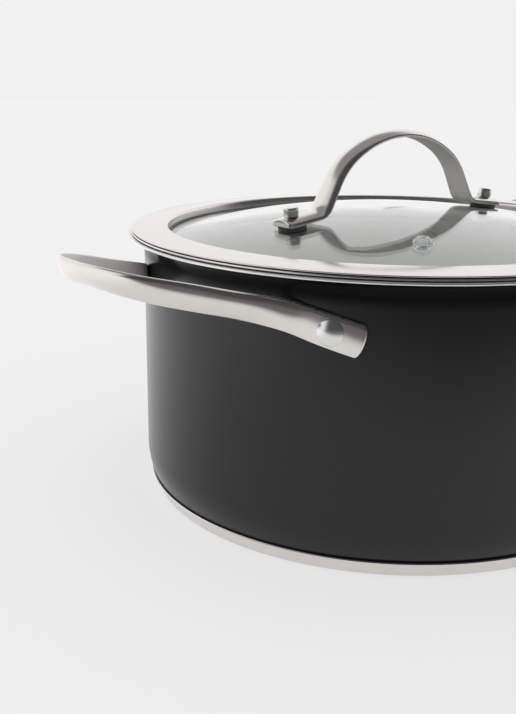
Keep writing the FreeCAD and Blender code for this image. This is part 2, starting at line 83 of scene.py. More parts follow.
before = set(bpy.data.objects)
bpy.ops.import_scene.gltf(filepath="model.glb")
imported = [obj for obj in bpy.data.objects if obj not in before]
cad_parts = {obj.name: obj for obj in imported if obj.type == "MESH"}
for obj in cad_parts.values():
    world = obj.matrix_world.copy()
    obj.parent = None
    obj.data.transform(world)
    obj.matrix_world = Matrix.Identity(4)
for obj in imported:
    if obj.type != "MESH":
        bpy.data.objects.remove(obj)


class Slot(Enum):
    """The record's material slots of the finishes that new pieces get."""

    HANDLE_STEEL = "handle_steel"
    POLISHED_STEEL = "polished_steel"
    RIM_STEEL = "rim_steel"
    CLEAR_SILICONE = "clear_silicone"


class Body(Enum):
    """The two bodies of the frame."""

    POT = "pot"
    LID = "lid"


class Grain(Enum):
    """Which way a brushed surface was polished."""

    AROUND = "around the pot's axis"
    ALONG = "along the strip's own map"


# ---------------------------------------------------------------- finishes


def way_to(heading: float) -> tuple[float, float, float]:
    """Return the level direction of a heading in degrees."""
    return (math.cos(math.radians(heading)), math.sin(math.radians(heading)), 0.0)


def shade(colour: tuple[float, float, float], factor: float = 1.0) -> tuple:
    """Return a colour made darker or lighter by a factor, with an alpha of 1."""
    return tuple(min(channel * factor, 1.0) for channel in colour) + (1.0,)


class NodeBench:
    """The node tree of a material or a world, with short ways to add, set and link nodes."""

    def __init__(self, owner: bpy.types.ID, output: str = "ShaderNodeOutputMaterial") -> None:
        """Empty the owner's tree and give it an output node.

        Args:
            owner: the material or world.
            output: the type of its output node.
        """
        self.owner = owner
        owner.use_nodes = True
        self.tree = owner.node_tree
        self.tree.nodes.clear()
        self.output = self.tree.nodes.new(output)

    def add(self, kind: str, settings: dict | None = None, **values: object) -> bpy.types.Node:
        """Add a node, set its properties, and set or link its inputs.

        Args:
            kind: the node type without its ShaderNode prefix.
            settings: properties of the node itself.
            values: inputs by name, with spaces as underscores: a number, a tuple, or a socket.

        Returns:
            The new node.
        """
        node = self.tree.nodes.new(f"ShaderNode{kind}")
        for key, setting in (settings or {}).items():
            setattr(node, key, setting)
        for key, value in values.items():
            self.feed(node.inputs[key.replace("_", " ")], value)
        return node

    def feed(self, socket: Socket, value: object) -> None:
        """Set an input to a constant, or link it to another node's output."""
        if isinstance(value, Socket):
            self.tree.links.new(value, socket)
        else:
            socket.default_value = value

    def maths(self, operation: str, *operands: object) -> Socket:
        """Add a Math node.

        Args:
            operation: the Math node's operation.
            operands: numbers or sockets, in order.

        Returns:
            The node's output socket.
        """
        node = self.add("Math", {"operation": operation})
        for socket, value in zip(node.inputs, operands):
            self.feed(socket, value)
        return node.outputs[0]

    def ramp(self, value: Socket, low: float, high: float,
             to_low: float = 0.0, to_high: float = 1.0, smooth: bool = False) -> Socket:
        """Map a value from one range to another.

        Args:
            value: the socket to map.
            low: the value that gives to_low.
            high: the value that gives to_high.
            to_low: the result at low.
            to_high: the result at high.
            smooth: ease in and out, instead of a straight line.

        Returns:
            The mapped value's socket.
        """
        kind = "SMOOTHSTEP" if smooth else "LINEAR"
        node = self.add("MapRange", {"interpolation_type": kind}, Value=value, From_Min=low,
                        From_Max=high, To_Min=to_low, To_Max=to_high)
        return node.outputs["Result"]

    def blend(self, share: Socket, first: object, second: object) -> Socket:
        """Mix two colours by a share, 0 for the first and 1 for the second."""
        node = self.add("Mix", {"data_type": "RGBA"})
        for socket, value in zip((node.inputs[0], node.inputs[6], node.inputs[7]),
                                 (share, first, second)):
            self.feed(socket, value)
        return node.outputs[2]

    def mix(self, share: Socket, first: object, second: object) -> Socket:
        """Mix two numbers by a share, 0 for the first and 1 for the second."""
        node = self.add("Mix", {"data_type": "FLOAT"})
        for index, value in ((0, share), (2, first), (3, second)):
            self.feed(node.inputs[index], value)
        return node.outputs[0]

    def vector(self, operation: str, *operands: object) -> bpy.types.Node:
        """Add a Vector Math node with its operands, sockets or tuples, in order."""
        node = self.add("VectorMath", {"operation": operation})
        for socket, value in zip(node.inputs, operands):
            self.feed(socket, value)
        return node

    def dot(self, first: object, second: object) -> Socket:
        """Return the dot product of two vectors."""
        return self.vector("DOT_PRODUCT", first, second).outputs["Value"]

    def level(self, vector: Socket) -> tuple:
        """Return a vector's height, its level part, and that part's direction."""
        parts = self.add("SeparateXYZ", Vector=vector).outputs
        flat = self.add("CombineXYZ", X=parts["X"], Y=parts["Y"], Z=0.0).outputs[0]
        return parts["Z"], flat, self.vector("NORMALIZE", flat).outputs[0]

    def light_path(self, ray: str) -> Socket:
        """Return 1 for rays of a kind, such as Is Glossy Ray, and 0 for the others."""
        return self.add("LightPath").outputs[ray]

    def noise(self, where: Socket, scale: float = 1.0, detail: float = 3.0,
              rough: float = 0.55) -> Socket:
        """Add a noise texture and return its value's socket."""
        node = self.add("TexNoise", {"noise_dimensions": "3D"}, Vector=where, Scale=scale,
                        Detail=detail, Roughness=rough)
        return node.outputs[0]

    def clouds(self, scale: float, detail: float = 3.0, rough: float = 0.55) -> Socket:
        """Add noise with no direction, in waves per metre, and return its value's socket."""
        return self.noise(self.add("TexCoord").outputs["Object"], scale, detail, rough)

    def bump(self, height: Socket, strength: float) -> Socket:
        """Return a normal with fine relief of a tenth of a millimetre at full strength."""
        return self.add("Bump", Strength=strength, Distance=0.1 * MM, Height=height).outputs[0]

    def stretched(self, grain: Grain, across: float, along: float) -> Socket:
        """Make texture coordinates that run long with the grain and short across it.

        Args:
            grain: the way the surface was brushed.
            across: how many waves per metre across the grain.
            along: how many waves per metre along the grain.

        Returns:
            The coordinates' socket.
        """
        coordinates = self.add("TexCoord").outputs
        if grain is Grain.ALONG:
            return self.add("Mapping", Vector=coordinates["UV"],
                            Scale=(along, across, 1.0)).outputs[0]
        height, flat, heading = self.level(coordinates["Object"])
        radius = self.vector("LENGTH", flat).outputs["Value"]
        bearing = self.add("SeparateXYZ", Vector=heading).outputs
        depth = self.maths("MULTIPLY_ADD", radius, across, self.maths("MULTIPLY", height, across))
        turn = self.add("CombineXYZ", X=depth,
                        Y=self.maths("MULTIPLY", bearing["X"], along / ROUND_RUN),
                        Z=self.maths("MULTIPLY", bearing["Y"], along / ROUND_RUN))
        return turn.outputs[0]

    def finish(self, shader: bpy.types.Node) -> bpy.types.ID:
        """Link a shader to the output and return the material or world."""
        self.feed(self.output.inputs["Surface"], shader.outputs[0])
        return self.owner


@dataclass(frozen=True)
class Finish:
    """A finish with a name, made into a material by its own shader."""

    name: str

    def shader(self, bench: NodeBench) -> bpy.types.Node:
        """Lay the finish's nodes on the bench and return the last one."""
        raise NotImplementedError

    def make(self) -> bpy.types.Material:
        """Build the material and return it."""
        bench = NodeBench(bpy.data.materials.new(self.name))
        return bench.finish(self.shader(bench))


@dataclass(frozen=True)
class BrushedSteel(Finish):
    """Satin stainless steel with a fine grain, faint smears and slightly uneven gloss."""

    grain: Grain
    colour: tuple[float, float, float] = (0.74, 0.715, 0.685)
    roughness: float = 0.17
    roughness_swing: float = 0.07
    anisotropy: float = 0.35
    hairlines: float = 9000.0
    hairline_run: float = 60.0
    hairline_depth: float = 0.05
    broad_lines: float = 6.0
    broad_run: float = 4.0
    cloud_size: float = 45.0
    cloud_share: float = 0.35
    tone_range: tuple[float, float] = (0.3, 0.7)
    darkest: float = 0.90
    lightest: float = 1.07
    inner_roughness: float = 0.0
    inner_metal: float = 0.4
    inner_centre: tuple[float, float, float] = (0.0, 0.0, 110 * MM)
    inner_edge: tuple[float, float] = (0.05, -0.15)

    def shader(self, bench: NodeBench) -> bpy.types.Node:
        """Lay the finish's nodes on the bench and return the last one."""
        fine = bench.noise(bench.stretched(self.grain, self.hairlines, self.hairline_run))
        broad = bench.noise(bench.stretched(self.grain, self.hairlines / self.broad_lines,
                                            self.hairline_run / self.broad_run))
        streaks = bench.maths("MULTIPLY_ADD", broad, 0.5, bench.maths("MULTIPLY", fine, 0.5))
        tone = bench.maths("MULTIPLY_ADD", bench.clouds(self.cloud_size, 2.0), self.cloud_share,
                           bench.maths("MULTIPLY", streaks, 1 - self.cloud_share))
        half_swing = self.roughness_swing / 2
        gloss = bench.ramp(tone, *self.tone_range, self.roughness - half_swing,
                           self.roughness + half_swing)
        metal = 1.0
        if self.inner_roughness:
            inside = self.inward(bench)
            metal = bench.ramp(inside, 0.0, 1.0, 1.0, self.inner_metal)
            gloss = bench.mix(inside, gloss, self.inner_roughness)
        if self.grain is Grain.ALONG:
            tangent = bench.add("Tangent", {"direction_type": "UV_MAP"})
        else:
            tangent = bench.add("Tangent", {"direction_type": "RADIAL", "axis": "Z"})
        colour = bench.blend(bench.ramp(tone, *self.tone_range), shade(self.colour, self.darkest),
                             shade(self.colour, self.lightest))
        return bench.add(
            "BsdfPrincipled", Base_Color=colour, Metallic=metal, Roughness=gloss,
            Anisotropic=self.anisotropy, Tangent=tangent.outputs[0],
            Normal=bench.bump(streaks, self.hairline_depth))

    def inward(self, bench: NodeBench) -> Socket:
        """Return 1 where a face looks towards the inner centre and 0 where it looks away."""
        outward = bench.vector("SUBTRACT", bench.add("TexCoord").outputs["Object"],
                               self.inner_centre).outputs[0]
        facing = bench.dot(bench.vector("NORMALIZE", outward).outputs[0],
                           bench.add("NewGeometry").outputs["Normal"])
        return bench.ramp(facing, *self.inner_edge)


@dataclass(frozen=True)
class PolishedSteel(Finish):
    """Bright turned steel with faint rubbing marks."""

    colour: tuple[float, float, float] = (0.77, 0.765, 0.76)
    roughness: float = 0.12
    wear: float = 0.10
    mark_size: float = 900.0
    mark_depth: float = 0.04
    dullest: float = 0.94

    def shader(self, bench: NodeBench) -> bpy.types.Node:
        """Lay the finish's nodes on the bench and return the last one."""
        marks = bench.clouds(self.mark_size, 4.0, 0.65)
        return bench.add(
            "BsdfPrincipled", Metallic=1.0,
            Base_Color=bench.blend(marks, shade(self.colour), shade(self.colour, self.dullest)),
            Roughness=bench.ramp(marks, 0.35, 0.75, self.roughness, self.roughness + self.wear),
            Normal=bench.bump(marks, self.mark_depth))


@dataclass(frozen=True)
class PotCoat(Finish):
    """Charcoal satin enamel outside, its reflection dimmed near the lip as painted shade; bare
    brushed steel inside and on the lip.
    """

    lip_line: float
    colour: tuple[float, float, float] = (0.0046, 0.0044, 0.0050)
    roughness: float = 0.23
    index: float = 1.45
    # Painted shade: a lower index near the lip dims the enamel's reflection there, as a dark band
    # under the lip where shade falls.
    neck_shade_index: float = 1.12
    neck_shade_drop: tuple[float, float] = (12.0 * MM, 6.0 * MM)
    steel: tuple[float, float, float] = (0.94, 0.935, 0.925)
    steel_metal: float = 0.12
    hairlines: float = 7000.0
    hairline_run: float = 40.0
    cloud_size: float = 18.0
    peel_size: float = 1400.0
    relief_depth: float = 0.03
    bare_darkest: float = 0.9
    coat_lightest: float = 1.12
    steel_roughness: float = 0.42
    steel_swing: float = 0.10
    coat_swing: float = 0.05
    coat_dip: float = 0.02

    def shader(self, bench: NodeBench) -> bpy.types.Node:
        """Lay the finish's nodes on the bench and return the last one."""
        height, _, outward = bench.level(bench.add("TexCoord").outputs["Object"])
        facing = bench.add("NewGeometry").outputs["Normal"]
        rise = bench.add("SeparateXYZ", Vector=facing).outputs["Z"]
        sideways = bench.dot(outward, facing)
        outside = bench.maths("GREATER_THAN", bench.maths("SUBTRACT", sideways, rise), 0.0)
        coat = bench.maths("MULTIPLY", outside, bench.maths("LESS_THAN", height, self.lip_line))
        on_lip = bench.maths("GREATER_THAN", height, self.lip_line)
        bare_metal = bench.ramp(on_lip, 0.0, 1.0, self.steel_metal, 1.0)
        # Painted shade: the index eases down towards the lip, darkening the neck's reflection.
        neck = bench.ramp(height, *(self.lip_line - drop for drop in self.neck_shade_drop),
                          self.index, self.neck_shade_index, smooth=True)
        streaks = bench.noise(bench.stretched(Grain.AROUND, self.hairlines, self.hairline_run))
        cloud = bench.clouds(self.cloud_size, 2.0)
        bare = bench.blend(streaks, shade(self.steel, self.bare_darkest), shade(self.steel))
        enamel = bench.blend(cloud, shade(self.colour), shade(self.colour, self.coat_lightest))
        coat_gloss = bench.maths("MULTIPLY_ADD", cloud, self.coat_swing,
                                 self.roughness - self.coat_dip)
        bare_gloss = bench.maths("MULTIPLY_ADD", streaks, self.steel_swing,
                                 self.steel_roughness - self.steel_swing / 2)
        relief = bench.mix(coat, streaks, bench.clouds(self.peel_size))
        return bench.add(
            "BsdfPrincipled", Base_Color=bench.blend(coat, bare, enamel),
            Metallic=bench.maths("MULTIPLY", bare_metal, bench.maths("SUBTRACT", 1.0, coat)),
            Roughness=bench.mix(coat, bare_gloss, coat_gloss), IOR=neck,
            Normal=bench.bump(relief, self.relief_depth))


@dataclass(frozen=True)
class ClearPiece(Finish):
    """Glass or clear silicone that lets lamp light through, with faint smears."""

    tint: tuple[float, float, float]
    index: float
    roughness: float
    smear: float
    shadow: tuple[float, float, float]
    clarity: float = 1.0
    film_size: float = 30.0

    def shader(self, bench: NodeBench) -> bpy.types.Node:
        """Lay the finish's nodes on the bench and return the last one."""
        film = bench.clouds(self.film_size, 4.0, 0.6)
        gloss = bench.ramp(film, 0.45, 0.8, self.roughness, self.roughness + self.smear)
        body = bench.add("BsdfPrincipled", Base_Color=shade(self.tint), Roughness=gloss,
                         IOR=self.index, Transmission_Weight=self.clarity)
        open_way = bench.add("BsdfTransparent", Color=shade(self.shadow))
        both = bench.add("MixShader")
        for socket, value in zip(both.inputs, (bench.light_path("Is Shadow Ray"), body.outputs[0],
                                               open_way.outputs[0])):
            bench.feed(socket, value)
        return both


@dataclass(frozen=True)
class Silicone(Finish):
    """Matt black silicone with a fine moulded skin."""

    colour: tuple[float, float, float] = (0.030, 0.031, 0.032)
    roughness: float = 0.52
    skin_size: float = 2600.0
    skin_depth: float = 0.15
    dust: float = 1.8
    swing: float = 0.15
    dip: float = 0.07

    def shader(self, bench: NodeBench) -> bpy.types.Node:
        """Lay the finish's nodes on the bench and return the last one."""
        skin = bench.clouds(self.skin_size)
        return bench.add(
            "BsdfPrincipled",
            Base_Color=bench.blend(skin, shade(self.colour), shade(self.colour, self.dust)),
            Roughness=bench.maths("MULTIPLY_ADD", skin, self.swing, self.roughness - self.dip),
            Normal=bench.bump(skin, self.skin_depth))


@dataclass(frozen=True)
class StudioPaper(Finish):
    """Plain pale floor, lit evenly from below like a light table, with barely visible mottling."""

    near_heading: float = 248.0
    colour: tuple[float, float, float] = (0.26, 0.26, 0.26)
    glow: float = 0.615
    lit_reach: tuple[float, float] = (0.28, 0.55)
    unlit: float = 0.15
    far_heading: float = 120.0
    strong_reach: tuple[float, float] = (0.12, 0.40)
    strong: float = 1.3
    mottle_size: float = 2.0
    mottle_shade: float = 0.985

    def shader(self, bench: NodeBench) -> bpy.types.Node:
        """Lay the paper's nodes on the bench and return the last one.

        Gloss mirrors a floor that is unlit beyond its near edge and strongly lit at its far side.
        """
        place = bench.add("TexCoord").outputs["Object"]
        shares = []
        for degrees, reach, end in ((self.near_heading, self.lit_reach, self.unlit),
                                    (self.far_heading, self.strong_reach, self.strong)):
            shares.append(bench.ramp(bench.dot(place, way_to(degrees)), *reach, 1.0, end,
                                     smooth=True))
        light = bench.mix(bench.light_path("Is Glossy Ray"), 1.0, bench.maths("MULTIPLY", *shares))
        tone = bench.blend(bench.noise(place, self.mottle_size, 2.0), shade(self.colour),
                           shade(self.colour, self.mottle_shade))
        dimmed = bench.add("VectorMath", {"operation": "SCALE"}, Vector=tone, Scale=light)
        return bench.add("BsdfPrincipled", Roughness=0.9, Specular_IOR_Level=0.1,
                           Base_Color=dimmed.outputs[0], Emission_Color=(1.0, 1.0, 1.0, 1.0),
                           Emission_Strength=bench.maths("MULTIPLY", light, self.glow))


# ---------------------------------------------------------------- modelling helpers


def deselect_all() -> None:
    """Leave nothing selected and object mode on."""
    if bpy.context.object and bpy.context.object.mode != "OBJECT":
        bpy.ops.object.mode_set(mode="OBJECT")
    bpy.ops.object.select_all(action="DESELECT")


def make_active(obj: Piece) -> None:
    """Select one object alone and make it the active one."""
    deselect_all()
    obj.select_set(True)
    bpy.context.view_layer.objects.active = obj


def pick(obj: Piece, wanted: Callable[[Vector], bool]) -> None:
    """Select the vertices of the object in edit mode whose place passes a test."""
    mesh = bmesh.from_edit_mesh(obj.data)
    for vertex in mesh.verts:
        vertex.select_set(wanted(vertex.co))
    mesh.select_mode = {"VERT"}
    mesh.select_flush_mode()
    bmesh.update_edit_mesh(obj.data)


def start_chain(name: str, first: Vector) -> Piece:
    """Start an outline: a small plane merged to one vertex, left in edit mode.

    Args:
        name: the new object's name.
        first: where the vertex goes.

    Returns:
        The object, in edit mode with the vertex selected.
    """
    deselect_all()
    bpy.ops.mesh.primitive_plane_add(size=MM)
    obj = bpy.context.object
    obj.name = name
    obj.data.name = name
    bpy.ops.object.mode_set(mode="EDIT")
    bpy.ops.mesh.select_mode(type="VERT")
    bpy.ops.mesh.select_all(action="SELECT")
    bpy.ops.mesh.merge(type="CENTER")
    bpy.ops.transform.translate(value=first)
    return obj


@dataclass(frozen=True)
class Corner:
    """A corner of an outline in its own plane, with the radius that rounds it."""

    across: float
    up: float
    round: float = 0.0
    steps: int = 5


def lay_points(corners: list[Corner], plane: Matrix) -> list[Vector]:
    """Return corners' places once a plane's turn has set them in the frame's axes."""
    return [plane @ Vector((corner.across, corner.up, 0.0)) for corner in corners]


def round_off(points: list[Vector], index: int, radius: float) -> tuple[Vector, Vector, float]:
    """Work out where the arc that rounds a corner begins and ends.

    Args:
        points: the outline's corners in order.
        index: which corner.
        radius: the arc's radius.

    Returns:
        The ways back and ahead from the corner, and how far along them the arc meets them.
    """
    here = points[index]
    back = (points[index - 1] - here).normalized()
    ahead = (points[(index + 1) % len(points)] - here).normalized()
    return back, ahead, radius / math.tan(back.angle(ahead) / 2)


def draw_outline(name: str, corners: list[Corner], plane: Matrix, closed: bool) -> Piece:
    """Extrude an outline vertex by vertex and round its corners.

    Args:
        name: the new object's name.
        corners: the outline's corners in order, in metres.
        plane: turns (across, up, 0) into the frame's axes.
        closed: join the last corner to the first.

    Returns:
        The object, in edit mode with everything selected.
    """
    points = lay_points(corners, plane)
    obj = start_chain(name, points[0])
    for before, after in zip(points, points[1:]):
        bpy.ops.mesh.extrude_region_move(TRANSFORM_OT_translate={"value": after - before})
    if closed:
        pick(obj, lambda co: min((co - points[0]).length, (co - points[-1]).length) < SAME_PLACE)
        bpy.ops.mesh.edge_face_add()
    for index, corner in enumerate(corners):
        if corner.round > 0:
            reach = round_off(points, index, corner.round)[2]
            pick(obj, lambda co: (co - points[index]).length < SAME_PLACE)
            bpy.ops.mesh.bevel(affect="VERTICES", offset_type="OFFSET", offset=reach,
                               segments=corner.steps, profile=0.5, clamp_overlap=False)
    bpy.ops.mesh.select_all(action="SELECT")
    return obj


UPRIGHT = Matrix(((1, 0, 0), (0, 0, 1), (0, 1, 0)))
"""Turns an outline's (across, up) into X and Z."""


def turned(name: str, corners: list[Corner], steps: int, closed: bool = True) -> Piece:
    """Spin an outline about the Z axis.

    Args:
        name: the new object's name.
        corners: the outline, as radius and height.
        steps: how many segments make the full turn.
        closed: the outline is a ring; otherwise it starts and ends on the axis.

    Returns:
        The object, in object mode at the origin.
    """
    obj = draw_outline(name, corners, UPRIGHT, closed)
    bpy.ops.mesh.spin(steps=steps, angle=math.tau, center=(0, 0, 0), axis=(0, 0, 1))
    tidy_mesh(obj)
    return obj


def tidy_mesh(obj: Piece) -> None:
    """Merge doubles, turn faces outwards and go back to object mode."""
    bpy.ops.mesh.select_all(action="SELECT")
    bpy.ops.mesh.remove_doubles(threshold=DOUBLES)
    bpy.ops.mesh.normals_make_consistent(inside=False)
    bpy.ops.mesh.select_all(action="DESELECT")
    bpy.ops.object.mode_set(mode="OBJECT")


def smooth(obj: Piece, angle: float) -> None:
    """Shade an object smooth, except over edges sharper than an angle in degrees."""
    make_active(obj)
    bpy.ops.object.shade_smooth_by_angle(angle=math.radians(angle))


def apply_modifiers(obj: Piece) -> None:
    """Apply every modifier of an object in order."""
    make_active(obj)
    for name in [modifier.name for modifier in obj.modifiers]:
        bpy.ops.object.modifier_apply(modifier=name)


def set_place(obj: Piece, place: Matrix) -> None:
    """Move a mesh to its place and leave its object at the origin, unturned and unscaled."""
    obj.data.transform(place)
    obj.data.update()


def copy_piece(obj: Piece, name: str) -> Piece:
    """Copy an object with a mesh of its own.

    Args:
        obj: the object to copy.
        name: the copy's name.

    Returns:
        The copy.
    """
    make_active(obj)
    bpy.ops.object.duplicate(linked=False)
    copy = bpy.context.object
    copy.name = name
    copy.data.name = name
    return copy


def mirrored_piece(obj: Piece, name: str, axis: str) -> Piece:
    """Copy an object and mirror the copy's mesh through the origin's plane.

    Args:
        obj: the object to copy.
        name: the copy's name.
        axis: "X" or "Y", the axis that changes sign.

    Returns:
        The mirrored copy, with its faces turned outwards again.
    """
    copy = copy_piece(obj, name)
    index = "XYZ".index(axis)
    flip = Matrix.Identity(4)
    flip[index][index] = -1
    copy.data.transform(flip)
    bpy.ops.object.mode_set(mode="EDIT")
    tidy_mesh(copy)
    return copy


def dress(obj: Piece, material: bpy.types.Material, slot: Slot, body: Body,
          *nodes: str) -> Piece:
    """Give a new piece its finish, its slot, its body and the CAD nodes it stands for.

    Args:
        obj: the piece.
        material: its finish.
        slot: the record's slot of that finish; not used.
        body: the body it rides on.
        nodes: the CAD nodes it replaces.

    Returns:
        The piece.
    """
    obj.data.materials.clear()
    obj.data.materials.append(material)
    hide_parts(*nodes)
    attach(obj, body.value)
    LOG.info("%s: %d faces", obj.name, len(obj.data.polygons))
    return obj


def finish_nodes(material: bpy.types.Material, names: Iterable[str]) -> None:
    """Give a finish to CAD nodes that keep their shape."""
    for name in names:
        for material_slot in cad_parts[name].material_slots:
            material_slot.material = material
        LOG.info("%s: %s", name, material.name)


def set_copies(first: Piece, ending: str, places: dict[str, Matrix],
               material: bpy.types.Material, body: Body) -> None:
    """Set a polished copy of a small piece at each place, and remove the piece itself.

    Args:
        first: the piece to copy.
        ending: what each copy's name adds to its node's.
        places: each copy's place, by the node it stands for.
        material: the copies' finish.
        body: the body they ride on.
    """
    smooth(first, SHARP_SMALL)
    for node, place in places.items():
        copy = copy_piece(first, node + ending)
        set_place(copy, place)
        dress(copy, material, Slot.POLISHED_STEEL, body, node)
    bpy.data.objects.remove(first)


# ---------------------------------------------------------------- strips


def eased(share: float) -> float:
    """Return a share held between 0 and 1, with a slow start and a slow end."""
    held = min(max(share, 0.0), 1.0)
    return held * held * (3 - 2 * held)


def running_lengths(points: list[Vector]) -> list[float]:
    """Return how far along a chain of points each of them lies."""
    return [0.0, *accumulate((second - first).length for first, second in zip(points, points[1:]))]


@dataclass(frozen=True)
class Section:
    """A strip's section: flat inner face, crowned outer face."""

    width: float
    edge: float
    crown: float

    def toward(self, other: "Section", share: float) -> "Section":
        """Return the section a share of the way to another."""
        return Section(*(first + (second - first) * share for first, second in
                         ((self.width, other.width), (self.edge, other.edge),
                          (self.crown, other.crown))))

    def narrowed(self, amount: float) -> "Section":
        """Return the same section with less width."""
        return Section(self.width - amount, self.edge, self.crown)


@dataclass
class StripBlank:
    """A flat strip along +X, drawn out section by section before it is bent."""

    name: str
    first: Section
    edge_round: float
    crown_steps: int = 10
    edge_steps: int = 3
    scaled_share: float = 0.55

    def draw_section(self) -> Piece:
        """Draw the first section in the YZ plane and return the object in edit mode.

        The strip's thickness runs along +Y and its width along Z.
        """
        half, edge, crown = self.first.width / 2, self.first.edge, self.first.crown
        bow = (half ** 2 + crown ** 2) / (2 * crown)
        reach = math.asin(half / bow)
        rounding = (self.edge_round, self.edge_steps)
        corners = [Corner(0.0, -half, *rounding), Corner(edge, -half, *rounding)]
        for step in range(1, self.crown_steps):
            angle = reach * (2 * step / self.crown_steps - 1)
            corners.append(Corner(edge + crown - bow * (1 - math.cos(angle)), bow * math.sin(angle)))
        corners += [Corner(edge, half, *rounding), Corner(0.0, half, *rounding)]
        corners += [Corner(0.0, half * (1 - 2 * step / self.crown_steps))
                    for step in range(1, self.crown_steps)]
        plane = Matrix(((0, 0, 1), (1, 0, 0), (0, 1, 0)))
        obj = draw_outline(self.name, corners, plane, closed=True)
        bpy.ops.mesh.edge_face_add()
        return obj

    def draw_out(self, obj: Piece, stations: list[tuple[float, Section]]) -> None:
        """Extrude the section through stations, reshaping it at each.

        Args:
            obj: the object in edit mode with its end face selected.
            stations: pairs of distance along the strip and section there.
        """
        here, now = 0.0, self.first
        for distance, then in stations:
            bpy.ops.mesh.extrude_region_move(
                TRANSFORM_OT_translate={"value": (distance - here, 0.0, 0.0)})
            bpy.ops.transform.resize(value=(1.0, 1.0, then.width / now.width),
                                     center_override=(distance, 0.0, 0.0))
            pick(obj, lambda co: abs(co.x - distance) < SAME_PLACE and co.y > now.edge)
            bpy.ops.transform.resize(value=(1.0, then.crown / now.crown, 1.0),
                                     center_override=(distance, now.edge, 0.0))
            pick(obj, lambda co: (abs(co.x - distance) < SAME_PLACE
                                  and co.y > now.edge * self.scaled_share))
            bpy.ops.transform.translate(value=(0.0, then.edge - now.edge, 0.0))
            pick(obj, lambda co: abs(co.x - distance) < SAME_PLACE)
            here, now = distance, then

    def soften_end(self, obj: Piece, end: float) -> None:
        """Round the flat strip's edges where it ends.

        Args:
            obj: the object in edit mode.
            end: how far along the strip it ends.
        """
        middle = (self.first.edge + self.first.crown) / 2
        stations = sorted({round(vertex.co.x, 7) for vertex in bmesh.from_edit_mesh(obj.data).verts},
                          key=lambda x: abs(x - end))
        for station in stations:
            depth = abs(station - end)
            if depth >= self.edge_round:
                break
            inset = self.edge_round - math.sqrt(self.edge_round ** 2
                                                - (self.edge_round - depth) ** 2)
            pick(obj, lambda co: abs(co.x - station) < 2 * SAME_PLACE)
            bpy.ops.transform.resize(value=(1.0, 1.0 - inset / middle, 1.0),
                                     center_override=(station, middle, 0.0))

    def make(self, stations: list[tuple[float, Section]], soft_end: float,
             open_end: float) -> Piece:
        """Make the flat strip, with a rounded end and an open end.

        Args:
            stations: pairs of distance along the strip and section there.
            soft_end: how far along the strip the rounded end is.
            open_end: how far along the strip the open end is.

        Returns:
            The strip, in object mode, with its map.
        """
        obj = self.draw_section()
        self.draw_out(obj, stations)
        pick(obj, lambda co: abs(co.x - open_end) < SAME_PLACE)
        bpy.ops.mesh.delete(type="ONLY_FACE")
        self.soften_end(obj, soft_end)
        tidy_mesh(obj)
        self.lay_map(obj)
        return obj

    def belly_end(self, obj: Piece, bow: float, fade: float) -> None:
        """Make the strip's first end convex: points away from its middle draw back.

        Args:
            obj: the object in object mode.
            bow: the radius of the end's outline.
            fade: the length over which the drawing back dies away.
        """
        for vertex in obj.data.vertices:
            share = max(1.0 - vertex.co.x / fade, 0.0)
            vertex.co.x += (bow - math.sqrt(bow ** 2 - vertex.co.z ** 2)) * share

    def lay_map(self, obj: Piece) -> None:
        """Give the flat strip a map in metres: along it, and round its section."""
        layer = obj.data.uv_layers.new(name="strip")
        for loop in obj.data.loops:
            place = obj.data.vertices[loop.vertex_index].co
            layer.data[loop.index].uv = (place.x, place.z + place.y)


def bend(obj: Piece, guide: Piece) -> None:
    """Bend a flat strip along a guide curve, and remove the curve."""
    modifier = obj.modifiers.new("bend", "CURVE")
    modifier.object = guide
    modifier.deform_axis = "POS_X"
    apply_modifiers(obj)
    bpy.data.objects.remove(guide)


def guide_curve(name: str, knots: list[tuple[Vector, Vector, Vector, float]]) -> Piece:
    """Make a guide curve from Bezier knots.

    Args:
        name: the curve's name.
        knots: for each knot its back handle, place, front handle and tilt in radians.

    Returns:
        The curve's object.
    """
    deselect_all()
    bpy.ops.curve.primitive_bezier_curve_add()
    guide = bpy.context.object
    guide.name = name
    guide.data.twist_mode = "Z_UP"
    guide.data.resolution_u = CURVE_STEPS
    spline = guide.data.splines[0]
    spline.bezier_points.add(len(knots) - len(spline.bezier_points))
    spline.tilt_interpolation = "LINEAR"
    for point, (back, place, front, tilt) in zip(spline.bezier_points, knots):
        point.handle_left_type = point.handle_right_type = "FREE"
        point.handle_left, point.co, point.handle_right = back, place, front
        point.tilt = tilt
    return guide


def rounded_knots(corners: list[Corner], plane: Matrix) -> list[tuple]:
    """Work out Bezier knots of a path of straight runs joined by arcs.

    Args:
        corners: the path's corners, in metres; the inner ones have a round.
        plane: turns (across, up, 0) into the frame's axes.

    Returns:
        Knots for guide_curve, with no tilt.
    """
    points = lay_points(corners, plane)
    stops = [(points[0], (points[1] - points[0]).normalized(), 0.0)]
    for index in range(1, len(points) - 1):
        back, ahead, reach = round_off(points, index, corners[index].round)
        pull = 4 / 3 * math.tan((math.pi - back.angle(ahead)) / 4) * corners[index].round
        stops.append((points[index] + back * reach, -back, pull))
        stops.append((points[index] + ahead * reach, ahead, 0.0))
    stops.append((points[-1], (points[-1] - points[-2]).normalized(), 0.0))
    knots = []
    for number, (place, heading, pull) in enumerate(stops):
        before = stops[number - 1] if number else stops[0]
        after = stops[min(number + 1, len(stops) - 1)]
        back_pull = before[2] or (place - before[0]).length / 3
        front_pull = pull or (after[0] - place).length / 3
        knots.append((place - heading * back_pull, place, place + heading * front_pull, 0.0))
    return knots


